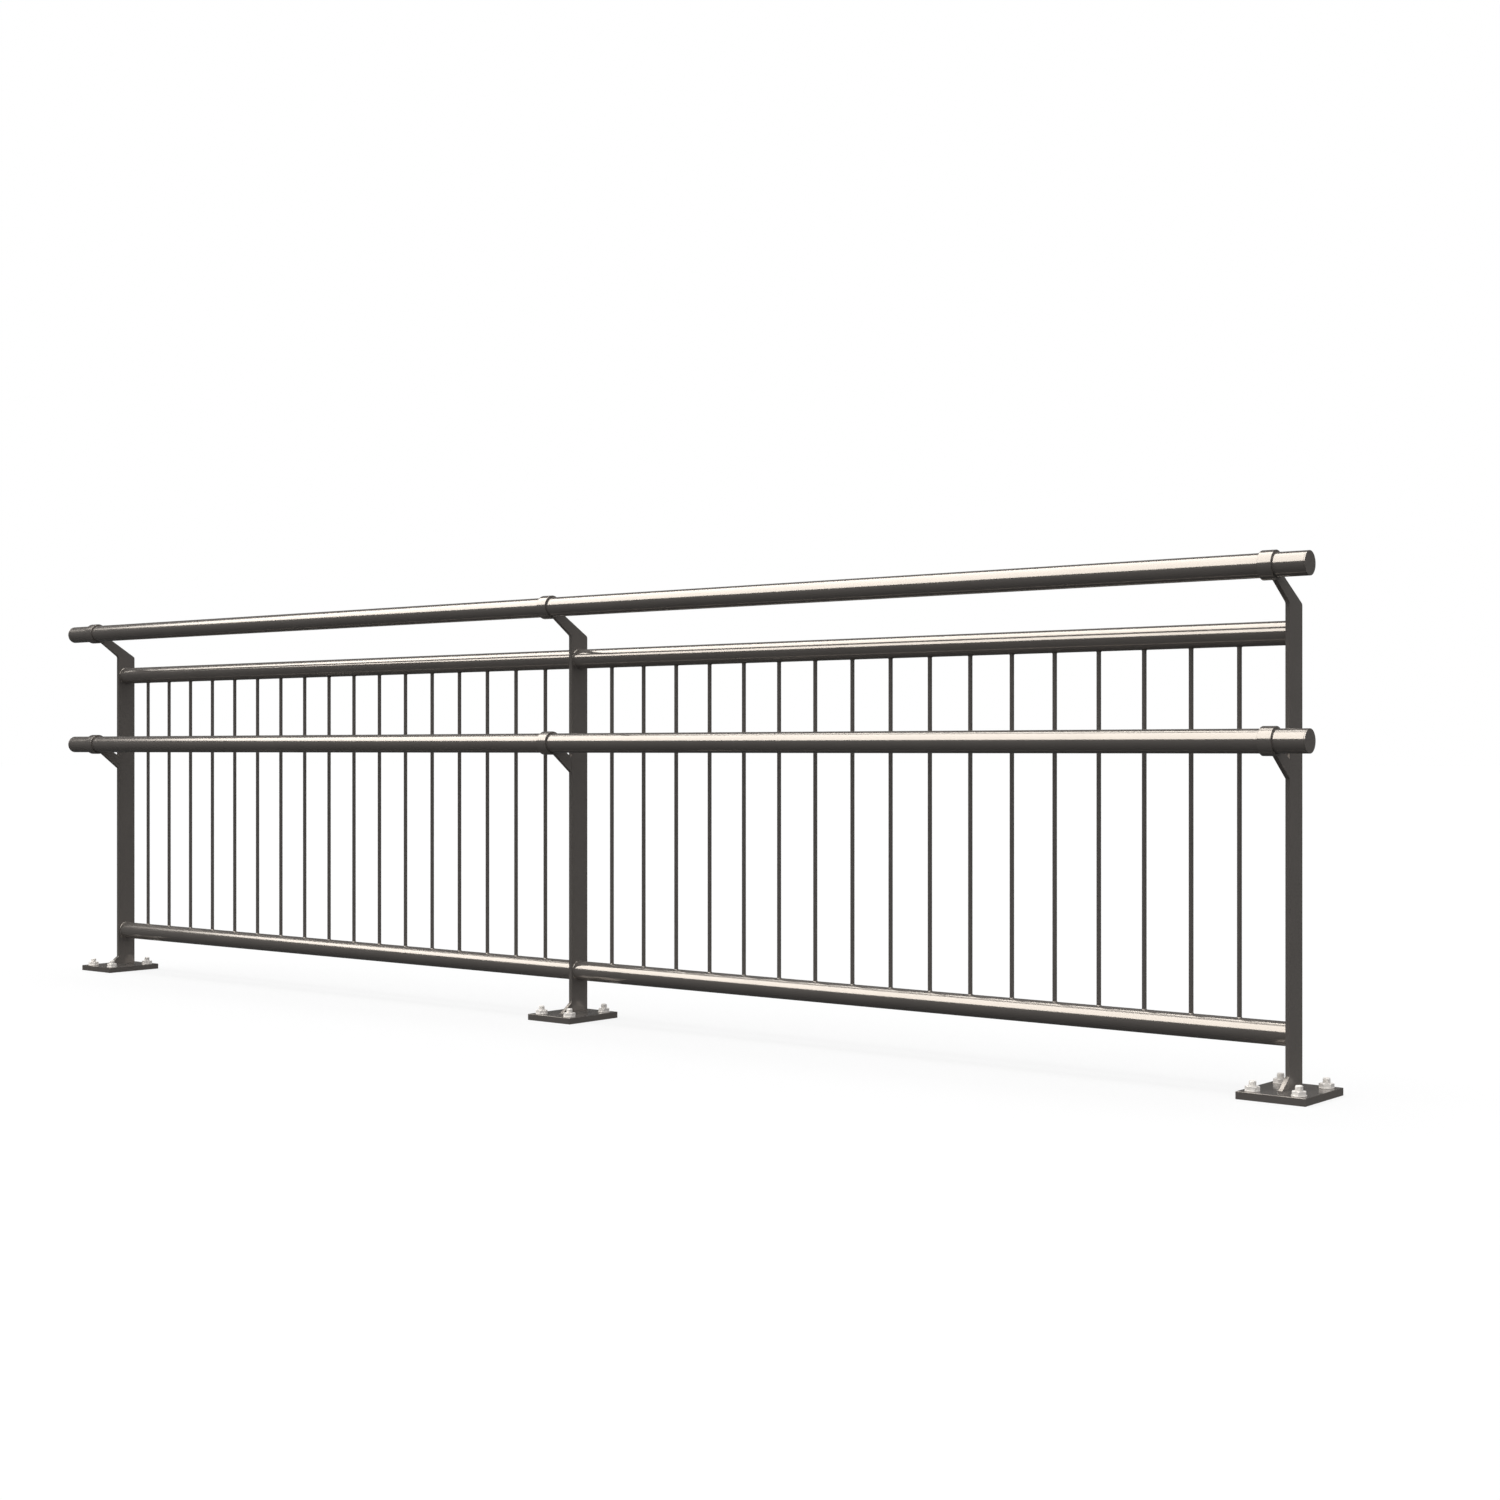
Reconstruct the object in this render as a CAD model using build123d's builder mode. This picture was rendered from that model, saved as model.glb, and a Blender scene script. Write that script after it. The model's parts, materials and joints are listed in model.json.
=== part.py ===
from build123d import *
import os

# Steel railing of two bays: flat plate posts on bolted base plates, two tube handrails carried
# in front of the posts by sleeves, and tube framed panels of round bars between the posts.
# X runs along the railing, Y points away from the handrails, Z is up, all in millimetres.
# The origin is on the underside of the middle base plate, below the middle post's centre.

# Layout along the railing
bay_length = 2000.0  # post centre to post centre
overhang_left = 115.0  # handrail end beyond the left post's centre
overhang_right = 85.0  # handrail end beyond the right post's centre

# Posts: flat plate, cranked forward at the top to carry the upper handrail
post_thickness = 10.0
post_depth = 60.0
bend_drop = 70.0  # upper handrail axis down to the crank
bend_radius = 8.0
arm_tip_height = 28.0  # height of the arm where its axis meets the handrail's axis

# Base plates: wider towards the handrail side
plate_length = 150.0
plate_front_reach = 110.0  # post centre to the front edge
plate_back_reach = 70.0  # post centre to the back edge
plate_thickness = 16.0
hole_edge_distance = 25.0
hole_diameter = 18.0

# Toe gusset in front of each post's foot
gusset_thickness = 10.0
gusset_length = 34.0
gusset_height = 27.0
gusset_toe = 2.0  # blunt height left at the toe

# Handrails: round tube with flat end caps
handrail_diameter = 50.0
handrail_wall = 3.0
handrail_offset = 110.0  # handrail axis in front of the post's centre
upper_handrail_height = 1070.0
handrail_spacing = 350.0  # upper axis to lower axis
cap_thickness = 3.0

# Sleeves round the handrails at the posts
sleeve_wall = 5.0
sleeve_length = 30.0
sleeve_clearance = 0.1  # all round between the handrail and the sleeve's bore

# Lower brackets between the post's front edge and the lower sleeve
bracket_thickness = 10.0
bracket_foot_drop = 76.0  # lower handrail axis down to the bottom of the bracket's foot
bracket_foot_height = 40.0
bracket_tip_height = 28.0

# Panels: tube rails between the posts, with round bars coped onto them
rail_diameter = 50.0
rail_wall = 3.0
top_rail_drop = 130.0  # upper handrail axis down to the top rail's axis
bottom_rail_height = 125.0  # underside of the base plate up to the bottom rail's axis
baluster_diameter = 10.0
baluster_pitch = 110.0

# Places worked out from the sizes above
posts = {"left": -bay_length, "middle": 0.0, "right": bay_length}
bays = {"left": -bay_length / 2, "right": bay_length / 2}
post_front = -post_depth / 2
plate_depth = plate_front_reach + plate_back_reach
plate_middle_y = (plate_back_reach - plate_front_reach) / 2
hole_spacing_x = plate_length - 2 * hole_edge_distance
hole_spacing_y = plate_depth - 2 * hole_edge_distance
handrail_y = -handrail_offset
handrails = {"upper": upper_handrail_height, "lower": upper_handrail_height - handrail_spacing}
sleeve_bore_radius = handrail_diameter / 2 + sleeve_clearance
sleeve_radius = sleeve_bore_radius + sleeve_wall
bend_height = upper_handrail_height - bend_drop
top_rail_height = upper_handrail_height - top_rail_drop
handrail_start = posts["left"] - overhang_left
handrail_end = posts["right"] + overhang_right
bay_clear = bay_length - post_thickness
baluster_count = int(bay_clear // baluster_pitch) - 1

os.makedirs("parts", exist_ok=True)


def save(piece, name):
    """Label a finished piece and write it as a STEP file of its own."""
    piece.part.label = name
    export_step(piece.part, f"parts/{name}.step")


# Base plates with four bolt holes each
for side, post_x in posts.items():
    with BuildPart() as base_plate:
        with BuildSketch():
            with Locations((post_x, plate_middle_y)):
                Rectangle(plate_length, plate_depth)
                with GridLocations(hole_spacing_x, hole_spacing_y, 2, 2):
                    Circle(hole_diameter / 2, mode=Mode.SUBTRACT)
        extrude(amount=plate_thickness)
    save(base_plate, f"base_plate_{side}")

# Posts: one flat profile with the cranked arm, its tip coped round the upper sleeve
for side, post_x in posts.items():
    with BuildPart() as post:
        with BuildSketch(Plane.YZ.offset(post_x)) as profile:
            with BuildLine():
                Polyline(
                    (post_front, plate_thickness),
                    (-post_front, plate_thickness),
                    (-post_front, bend_height),
                    (handrail_y, handrails["upper"] + arm_tip_height / 2),
                    (handrail_y, handrails["upper"] - arm_tip_height / 2),
                    (post_front, bend_height),
                    close=True,
                )
            make_face()
            fillet(profile.vertices().group_by(Axis.Y)[1], bend_radius)
            with Locations((handrail_y, handrails["upper"])):
                Circle(sleeve_radius, mode=Mode.SUBTRACT)
        extrude(amount=post_thickness / 2, both=True)
    save(post, f"post_{side}")

# Toe gussets: small triangles with a blunt toe, on the base plate against the post's front edge
for side, post_x in posts.items():
    with BuildPart() as gusset:
        with BuildSketch(Plane.YZ.offset(post_x)):
            with BuildLine():
                Polyline(
                    (post_front, plate_thickness),
                    (post_front, plate_thickness + gusset_height),
                    (post_front - gusset_length, plate_thickness + gusset_toe),
                    (post_front - gusset_length, plate_thickness),
                    close=True,
                )
            make_face()
        extrude(amount=gusset_thickness / 2, both=True)
    save(gusset, f"toe_gusset_{side}")

# Lower brackets: tapered plates from the post's front edge, coped round the lower sleeve
bracket_foot = handrails["lower"] - bracket_foot_drop
for side, post_x in posts.items():
    with BuildPart() as bracket:
        with BuildSketch(Plane.YZ.offset(post_x)):
            with BuildLine():
                Polyline(
                    (post_front, bracket_foot),
                    (post_front, bracket_foot + bracket_foot_height),
                    (handrail_y, handrails["lower"] + bracket_tip_height / 2),
                    (handrail_y, handrails["lower"] - bracket_tip_height / 2),
                    close=True,
                )
            make_face()
            with Locations((handrail_y, handrails["lower"])):
                Circle(sleeve_radius, mode=Mode.SUBTRACT)
        extrude(amount=bracket_thickness / 2, both=True)
    save(bracket, f"lower_bracket_{side}")

# Sleeves: a short ring on each handrail at each post
for level, height in handrails.items():
    with BuildPart() as sleeves:
        for post_x in posts.values():
            with BuildSketch(Plane.YZ.offset(post_x)):
                with Locations((handrail_y, height)):
                    Circle(sleeve_radius)
                    Circle(sleeve_bore_radius, mode=Mode.SUBTRACT)
        extrude(amount=sleeve_length / 2, both=True)
    save(sleeves, f"{level}_sleeves")

# Handrail tubes, running through the sleeves from cap to cap
for level, height in handrails.items():
    with BuildPart() as handrail:
        with BuildSketch(Plane.YZ.offset(handrail_start + cap_thickness)):
            with Locations((handrail_y, height)):
                Circle(handrail_diameter / 2)
                Circle(handrail_diameter / 2 - handrail_wall, mode=Mode.SUBTRACT)
        extrude(amount=handrail_end - handrail_start - 2 * cap_thickness)
    save(handrail, f"{level}_handrail")

# Flat caps that close the handrail ends
for level, height in handrails.items():
    with BuildPart() as end_caps:
        for cap_start in (handrail_start, handrail_end - cap_thickness):
            with BuildSketch(Plane.YZ.offset(cap_start)):
                with Locations((handrail_y, height)):
                    Circle(handrail_diameter / 2)
        extrude(amount=cap_thickness)
    save(end_caps, f"{level}_end_caps")

# Panel rails: tubes that butt against the posts' sides
for level, height in {"top": top_rail_height, "bottom": bottom_rail_height}.items():
    for side, bay_x in bays.items():
        with BuildPart() as rail:
            with BuildSketch(Plane.YZ.offset(bay_x)):
                with Locations((0, height)):
                    Circle(rail_diameter / 2)
                    Circle(rail_diameter / 2 - rail_wall, mode=Mode.SUBTRACT)
            extrude(amount=bay_clear / 2, both=True)
        save(rail, f"{level}_rail_{side}")

# Balusters: a row of round bars in each bay, their ends coped to the rails
for side, bay_x in bays.items():
    with BuildPart() as balusters:
        with BuildSketch(Plane.XY.offset(bottom_rail_height)):
            with Locations((bay_x, 0)):
                with GridLocations(baluster_pitch, 0, baluster_count, 1):
                    Circle(baluster_diameter / 2)
        extrude(amount=top_rail_height - bottom_rail_height)
        with BuildSketch(Plane.YZ.offset(bay_x)):
            with Locations((0, bottom_rail_height), (0, top_rail_height)):
                Circle(rail_diameter / 2)
        extrude(amount=bay_clear / 2, both=True, mode=Mode.SUBTRACT)
    save(balusters, f"balusters_{side}")
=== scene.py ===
"""Finished surfaces, materials and studio for a steel railing of two bays."""
import json
import math

import bpy
import numpy as np
from bpy.props import FloatProperty, FloatVectorProperty, IntProperty, PointerProperty
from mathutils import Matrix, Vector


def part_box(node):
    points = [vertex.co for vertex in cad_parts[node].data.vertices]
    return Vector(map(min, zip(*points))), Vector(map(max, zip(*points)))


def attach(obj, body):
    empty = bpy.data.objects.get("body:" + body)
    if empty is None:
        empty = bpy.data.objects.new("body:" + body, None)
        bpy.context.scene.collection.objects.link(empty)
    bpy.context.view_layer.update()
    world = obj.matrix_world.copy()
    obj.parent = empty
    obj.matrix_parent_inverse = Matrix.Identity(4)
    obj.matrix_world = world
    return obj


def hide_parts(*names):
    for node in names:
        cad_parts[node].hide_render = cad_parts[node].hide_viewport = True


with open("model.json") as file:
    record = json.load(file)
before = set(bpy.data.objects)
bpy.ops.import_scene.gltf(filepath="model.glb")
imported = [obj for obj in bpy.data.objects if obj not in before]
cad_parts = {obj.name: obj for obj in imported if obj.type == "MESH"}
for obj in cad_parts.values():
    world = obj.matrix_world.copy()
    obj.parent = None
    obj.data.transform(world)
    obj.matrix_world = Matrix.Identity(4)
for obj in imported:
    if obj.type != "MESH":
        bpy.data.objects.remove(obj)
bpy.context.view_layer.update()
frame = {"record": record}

bl_info = {
    "name": "Steel Railing",
    "version": (1, 0, 0),
    "blender": (4, 5, 0),
    "location": "View3D > Sidebar > Railing",
    "description": "Builds the painted plates, tubes, bars, welds and fixings of a two bay railing",
    "category": "Add Mesh",
}

# Columns of a point, and the record's unit
X, Y, Z = 0, 1, 2
MM_PER_METRE = 1000

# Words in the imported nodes' names, and for each rail the way from its axis to the bars
SIDES = ("left", "middle", "right")
BAYS = ("left", "right")
LEVELS = ("upper", "lower")
RAILS = {"top_rail": -1.0, "bottom_rail": 1.0}

# The names of this file's materials
PAINT_NAME = "railing_paint"
ZINC_NAME = "zinc_plating"
MOTTLE_NAME = "Two Tone Mottle"

# Fineness: points round a circle
TUBE_SEGMENTS = 96
BAR_SEGMENTS = 24
WASHER_SEGMENTS = 48
NUT_SEGMENTS = 72
STUD_SEGMENTS = 24
WALL_SEGMENTS = 48
SOFTBOX_SEGMENTS = 96

# Fineness: points along an arc or a run
EDGE_STEPS = 4
BEND_STEPS = 9
COPE_STEPS = 24
QUARTER_STEPS = 12  # each side of a base plate's quarter
THREAD_STEPS = 7  # one pitch
BEAD_STEPS = 5  # across a weld bead
FOOT_SIDE_STEPS = 110
FOOT_CORNER_STEPS = 5
FOOT_BACK_STEPS = 12
COPE_BEAD_STEPS = 36
RAIL_BEAD_STEPS = 160
WALL_STEPS = 24
SOFTBOX_STEPS = 16
SHARP_ANGLE = math.radians(38.0)

# Weld beads
BEAD_POWER = 1.4  # 1 gives a round face and 2 a flat one
BEAD_SWELL = 0.07  # share of the leg by which the ripples swell
BEAD_ROOT = 0.25  # share of the leg by which the root lies inside the corner

# Small shapes of the fixings, in metres, and how a plate's four nuts are turned
WASHER_ROUNDING = 0.0005
STUD_CHAMFER = 0.0018
THREAD_DEPTH = 0.0011
NUT_CROWN = 0.98  # flat circle on top, as a share of the width across flats
NUT_CHAMFER = math.radians(20.0)
NUT_TURNS = np.radians([11.0, 47.0, 23.0, 36.0])
NUT_TURN_STEP = 0.3  # further turn from one plate to the next

# Finishes
CLOUD_DETAIL = 4.0
FLAKE_SHARE = 0.35  # how far the flakes shift the mix of tones
SKIN_HEIGHT = 0.0005  # metres at full bump strength

# Stage, in metres and shares of white
FLOOR_REACH = 80.0
FLOOR_GREY = 0.8
FLOOR_GLOW = 0.99
FLOOR_GLOW_SHARE = 0.75  # the rest of what is seen takes light and shadow
WALL_RADIUS = 40.0
SOFTBOX_RADIUS = 20.0
SOFTBOX_CENTRE = (0.0, 0.0, 0.7)  # middle of the sphere that the softbox is cut from
POLE_GAP = 0.02  # angle from a sphere's pole to its first ring
HORIZON_BLEND = 0.2  # sine of the angle over which the light from above takes over
VIEW_REACH = 200.0
SENSOR_WIDTH = 36.0  # millimetres


class RailingSizes(bpy.types.PropertyGroup):
    """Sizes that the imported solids' boxes don't give"""

    edge_rounding: FloatProperty(
        name="Edge Rounding", description="Radius of the eased plate and tube edges",
        default=0.0008, precision=4, unit="LENGTH")
    bend_drop: FloatProperty(
        name="Bend Drop", description="Upper handrail axis down to the post's crank",
        default=0.070, precision=3, unit="LENGTH")
    bend_radius: FloatProperty(
        name="Bend Radius", description="Radius at the inside and outside of the post's crank",
        default=0.008, precision=3, unit="LENGTH")
    tip_height: FloatProperty(
        name="Tip Height", description="Height of an arm where it would meet the handrail's axis",
        default=0.028, precision=3, unit="LENGTH")
    bracket_foot_height: FloatProperty(
        name="Bracket Foot Height", description="Height of the lower bracket on the post's edge",
        default=0.040, precision=3, unit="LENGTH")
    gusset_toe: FloatProperty(
        name="Gusset Toe", description="Blunt height left at the toe of the gusset",
        default=0.002, precision=4, unit="LENGTH")
    tube_wall: FloatProperty(
        name="Tube Wall", description="Wall thickness of handrails and panel rails",
        default=0.003, precision=4, unit="LENGTH")
    bars_per_bay: IntProperty(
        name="Bars per Bay", description="Number of round bars in each panel", default=17, min=1)
    weld_leg: FloatProperty(
        name="Weld Leg", description="Leg of the painted welds on posts, sleeves and rails",
        default=0.0018, precision=4, unit="LENGTH")
    bar_weld_leg: FloatProperty(
        name="Bar Weld Leg", description="Leg of the small welds round the bar ends",
        default=0.0012, precision=4, unit="LENGTH")
    weld_ripple: FloatProperty(
        name="Weld Ripple", description="Distance from one weld ripple to the next",
        default=0.0035, precision=4, unit="LENGTH")


class RailingFixings(bpy.types.PropertyGroup):
    """Sizes of the anchor studs, nuts and washers on the base plates"""

    washer_radius: FloatProperty(
        name="Washer Radius", description="Outer radius of a washer",
        default=0.0155, precision=4, unit="LENGTH")
    washer_thickness: FloatProperty(
        name="Washer Thickness", description="Thickness of a washer",
        default=0.002, precision=4, unit="LENGTH")
    nut_flats: FloatProperty(
        name="Nut Across Flats", description="Width of a nut from flat to flat",
        default=0.027, precision=4, unit="LENGTH")
    nut_height: FloatProperty(
        name="Nut Height", description="Height of a nut",
        default=0.008, precision=4, unit="LENGTH")
    stud_radius: FloatProperty(
        name="Stud Radius", description="Outer radius of the stud's thread",
        default=0.008, precision=4, unit="LENGTH")
    stud_height: FloatProperty(
        name="Stud Height", description="Top of the stud above the base plate",
        default=0.021, precision=4, unit="LENGTH")
    thread_pitch: FloatProperty(
        name="Thread Pitch", description="Rise of the thread in one turn",
        default=0.002, precision=4, unit="LENGTH")


class RailingFinish(bpy.types.PropertyGroup):
    """Colours and gloss of the paint and the zinc"""

    paint_light: FloatVectorProperty(
        name="Paint Light", description="Lighter tone of the warm grey paint",
        default=(0.222, 0.203, 0.188), subtype="COLOR", min=0.0, max=1.0)
    paint_dark: FloatVectorProperty(
        name="Paint Dark", description="Darker tone of the warm grey paint",
        default=(0.190, 0.174, 0.160), subtype="COLOR", min=0.0, max=1.0)
    paint_roughness: FloatVectorProperty(
        name="Paint Roughness", description="Roughness of the paint, smoothest and dullest",
        default=(0.12, 0.15), size=2, min=0.0, max=1.0)
    paint_metal: FloatProperty(
        name="Paint Metal", description="Share of metal in the paint",
        default=0.4, min=0.0, max=1.0, subtype="FACTOR")
    zinc_light: FloatVectorProperty(
        name="Zinc Light", description="Lighter tone of the zinc plating",
        default=(0.76, 0.74, 0.72), subtype="COLOR", min=0.0, max=1.0)
    zinc_dark: FloatVectorProperty(
        name="Zinc Dark", description="Darker tone of the zinc plating",
        default=(0.66, 0.64, 0.62), subtype="COLOR", min=0.0, max=1.0)
    zinc_roughness: FloatVectorProperty(
        name="Zinc Roughness", description="Roughness of the zinc, smoothest and dullest",
        default=(0.6, 0.78), size=2, min=0.0, max=1.0)
    zinc_metal: FloatProperty(
        name="Zinc Metal", description="Share of bare metal in the dull zinc",
        default=0.2, min=0.0, max=1.0, subtype="FACTOR")


class RailingStage(bpy.types.PropertyGroup):
    """Camera and light"""

    camera_place: FloatVectorProperty(
        name="Camera Place", description="Where the camera stands",
        default=(3.8692, -4.0578, 0.7022), subtype="XYZ", unit="LENGTH")
    camera_heading: FloatProperty(
        name="Camera Heading", description="Turn of the level camera from the +Y direction",
        default=math.radians(39.034), subtype="ANGLE")
    lens: FloatProperty(
        name="Lens", description="Focal length for a 36 mm wide square frame",
        default=51.21, subtype="DISTANCE_CAMERA")
    sky_light: FloatProperty(
        name="Sky Light", description="Strength of the even light from above", default=0.9)
    ground_light: FloatProperty(
        name="Ground Light", description="Strength of the even light from below", default=0.06)
    lamp_strength: FloatProperty(
        name="Lamp Strength", description="Strength of the soft overhead lamp", default=1.5)
    lamp_spread: FloatProperty(
        name="Lamp Spread", description="Angle that the lamp fills in the sky",
        default=math.radians(60.0), subtype="ANGLE")
    lamp_turn: FloatVectorProperty(
        name="Lamp Turn", description="Turn of the lamp from straight down",
        default=(math.radians(4.0), math.radians(-10.0), 0.0), subtype="EULER")
    softbox_strength: FloatProperty(
        name="Softbox Strength", description="Brightness of the softbox in the paint's gloss",
        default=7.5)
    softbox_colour: FloatVectorProperty(
        name="Softbox Colour", description="Warm white of the softbox",
        default=(1.0, 0.965, 0.905), subtype="COLOR", min=0.0, max=1.0)
    softbox_facing: FloatVectorProperty(
        name="Softbox Facing", description="Direction from the railing to the softbox's middle",
        default=(-0.235, -0.415, 0.879), subtype="DIRECTION")
    softbox_spread: FloatProperty(
        name="Softbox Spread", description="Angle from the softbox's middle to its rim",
        default=math.radians(43.7), subtype="ANGLE")
    wall_shade: FloatProperty(
        name="Wall Shade", description="Brightness of the studio's walls in the paint's gloss",
        default=0.08)


def node_middle(node):
    """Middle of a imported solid's box, as an array."""
    low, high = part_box(node)
    return (np.array(low) + np.array(high)) / 2


def node_size(node):
    """Length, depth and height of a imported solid's box, as an array."""
    low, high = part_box(node)
    return np.array(high) - np.array(low)


def full_turn(segments):
    """Angles of evenly spaced points round a circle."""
    return np.linspace(0, 2 * np.pi, segments, endpoint=False)


def round_corners(corners, radius, steps=EDGE_STEPS):
    """Outline with each corner replaced by an arc.

    The tangent points lie radius / tan(half the corner's angle) from the corner, and the arc's
    spoke turns evenly from one to the other, as a blend of both spokes by sines.
    Returns an array of corner, step, coordinate.
    """
    corners = np.asarray(corners, dtype=float)
    before = np.roll(corners, 1, axis=0) - corners
    after = np.roll(corners, -1, axis=0) - corners
    before /= np.linalg.norm(before, axis=1, keepdims=True)
    after /= np.linalg.norm(after, axis=1, keepdims=True)
    half = np.arccos(np.sum(before * after, axis=1)) / 2
    middle = (before + after) / np.linalg.norm(before + after, axis=1, keepdims=True)
    centre = corners + middle * (radius / np.sin(half))[:, None]
    reach = (radius / np.tan(half))[:, None]
    first = corners + before * reach - centre
    last = corners + after * reach - centre
    turn = (np.pi - 2 * half)[:, None]
    step = np.linspace(0, 1, steps)
    from_first = (np.sin((1 - step) * turn) / np.sin(turn))[..., None]
    from_last = (np.sin(step * turn) / np.sin(turn))[..., None]
    return centre[:, None] + from_first * first[:, None] + from_last * last[:, None]


def inset(outline, distance):
    """Closed anticlockwise outline moved inwards along each corner's mitre."""
    ahead = np.roll(outline, -1, axis=0) - outline
    ahead /= np.linalg.norm(ahead, axis=1, keepdims=True)
    inward = np.stack([-ahead[:, 1], ahead[:, 0]], axis=1)
    earlier = np.roll(inward, 1, axis=0)
    mitre = (inward + earlier) / (1 + np.sum(inward * earlier, axis=1, keepdims=True))
    return outline + distance * mitre


def ring_quads(rings, points, closed=False):
    """Quads between neighbouring rings of points, where each ring closes on itself."""
    ring = np.arange(rings if closed else rings - 1)[:, None]
    point = np.arange(points)[None, :]
    following = (ring + 1) % rings
    beside = (point + 1) % points
    quads = [ring * points + point, ring * points + beside,
             following * points + beside, following * points + point]
    return np.stack(quads, axis=-1).reshape(-1, 4)


def ring_shell(rings, closed=False):
    """Closed surface through an array of ring, point, coordinate, with flat ends if it is open."""
    count, points = rings.shape[:2]
    ends = [] if closed else [np.arange(points)[::-1], np.arange(points) + (count - 1) * points]
    return rings.reshape(-1, 3), ring_quads(count, points, closed), ends


def at_heights(outlines, heights):
    """Array of ring, point, coordinate from flat outlines and the height of each."""
    heights = np.broadcast_to(heights[:, None, None], outlines.shape[:2] + (1,))
    return np.concatenate([outlines, heights], axis=-1)


def eased_edges(thickness, rounding):
    """How far the rings of a plate's two edges are set in, and their depths.

    From each face the ring is set in by rounding * (1 - sin t) and lies rounding * (1 - cos t)
    deep, with t from 0 to a quarter turn.
    """
    turn = np.linspace(0, np.pi / 2, EDGE_STEPS)
    set_in = rounding * (1 - np.sin(turn))
    depth = rounding * (1 - np.cos(turn)) - thickness / 2
    return np.concatenate([set_in, set_in[::-1]]), np.concatenate([depth, -depth[::-1]])


def plate_rings(outline, thickness, rounding):
    """Rings of a plate: the outline is carried through the thickness and set in at both edges.

    Columns: two of the outline, then the depth.
    """
    set_in, depth = eased_edges(thickness, rounding)
    return at_heights(np.stack([inset(outline, distance) for distance in set_in]), depth)


def upright_plate(outline, thickness, rounding, place_x):
    """Plate standing across the railing: outline in Y and Z, thickness along X."""
    rings = plate_rings(outline, thickness, rounding)[..., [2, 0, 1]]
    return ring_shell(rings + np.array([place_x, 0, 0]))


def lathe(profile, middle, axis, segments, closed=True):
    """Profile of (distance along the axis, radius) turned round an axis through middle.

    The other two directions follow the axis in the order X, Y, Z.
    """
    angle = full_turn(segments)
    rings = np.empty((len(profile), segments, 3))
    rings[..., axis] = profile[:, :1]
    rings[..., (axis + 1) % 3] = profile[:, 1:] * np.cos(angle)
    rings[..., (axis + 2) % 3] = profile[:, 1:] * np.sin(angle)
    return ring_shell(rings + np.asarray(middle, dtype=float), closed)


def tube_profile(start, end, inner, outer, rounding):
    """Wall of a tube as a closed rectangle with eased corners."""
    corners = [(start, inner), (start, outer), (end, outer), (end, inner)]
    return round_corners(corners, rounding).reshape(-1, 2)


def merge_shells(shells):
    """One list of points, quads and ends from several shells."""
    points = np.concatenate([shell[0] for shell in shells])
    starts = np.cumsum([0] + [len(shell[0]) for shell in shells[:-1]])
    quads = np.concatenate([shell[1] + start for shell, start in zip(shells, starts)])
    ends = [end + start for shell, start in zip(shells, starts) for end in shell[2]]
    return points, quads, ends


def weld_points(shell):
    """Shell whose points that fall together within a micrometre are made one."""
    points, quads, ends = shell
    _, kept, used = np.unique(np.round(points, 6), axis=0, return_index=True, return_inverse=True)
    used = used.reshape(-1)
    return points[kept], used[quads], [used[end] for end in ends]


def signed_volume(points, quads):
    """Sum of the tetrahedra from the first point to each half quad."""
    corners = points[quads] - points[0]
    first = np.cross(corners[:, 0], corners[:, 1])
    second = np.cross(corners[:, 0], corners[:, 2])
    return np.sum(first * corners[:, 2]) + np.sum(second * corners[:, 3])


def outward(shell):
    """Shell with its faces turned outwards, which the sign of its volume tells."""
    points, quads, ends = shell
    if signed_volume(points, quads) < 0:
        return points, quads[:, ::-1], [end[::-1] for end in ends]
    return shell


def add_mesh(name, shells, material):
    """Mesh object at the origin from shells, each with its faces turned outwards."""
    points, quads, ends = merge_shells([outward(shell) for shell in shells])
    faces = quads.tolist() + [end.tolist() for end in ends]
    mesh = bpy.data.meshes.new(name)
    mesh.from_pydata(points, [], faces)
    mesh.polygons.foreach_set("use_smooth", np.ones(len(faces), dtype=bool))
    mesh.set_sharp_from_angle(angle=SHARP_ANGLE)
    mesh.materials.append(material)
    mesh.update()
    piece = bpy.data.objects.new(name, mesh)
    bpy.context.scene.collection.objects.link(piece)
    return piece


def add_piece(name, shells, material, replaced=()):
    """Piece of the railing, with normals that follow its larger faces."""
    piece = add_mesh(name, shells, material)
    normals = piece.modifiers.new("Face Normals", "WEIGHTED_NORMAL")
    normals.keep_sharp = True
    if replaced:
        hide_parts(*replaced)
    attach(piece, "root")


def add_node(tree, kind, values=None):
    """Shader node with the given values set on its input sockets."""
    node = tree.nodes.new(kind)
    for socket, value in (values or {}).items():
        node.inputs[socket].default_value = value
    return node


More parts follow.
